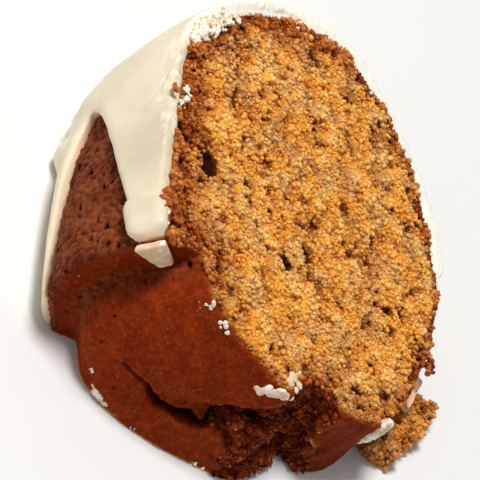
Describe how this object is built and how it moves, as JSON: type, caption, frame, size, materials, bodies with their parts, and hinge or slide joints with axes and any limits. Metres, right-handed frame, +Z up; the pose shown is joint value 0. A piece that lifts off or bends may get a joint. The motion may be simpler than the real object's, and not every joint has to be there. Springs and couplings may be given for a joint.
{
  "type": "bundt cake slice",
  "caption": "Wedge slice cut from a fluted ring cake with pale dripped icing, lying on one cut face so that the golden crumb of the other shows.",
  "frame": {"origin": "on the surface that the slice lies on, under the middle of its box", "axes": "+Z up, out of the cut face that shows; +Y towards the iced crown of the cake, -X towards the ring's outer wall, +X towards its hole"},
  "size_m": [0.097, 0.1098, 0.0369],
  "materials": {
    "cake_crumb": "open golden-brown cake crumb with a smooth, matte, dark reddish-brown crust",
    "icing": "set cream-white icing with a soft satin sheen"
  },
  "bodies": {
    "root": {"cake": "cake_crumb", "glaze": "icing", "drip_tip": "icing", "glaze_drop": "icing", "glaze_smear": "icing", "glaze_smear_rim": "icing"}
  },
  "joints": []
}
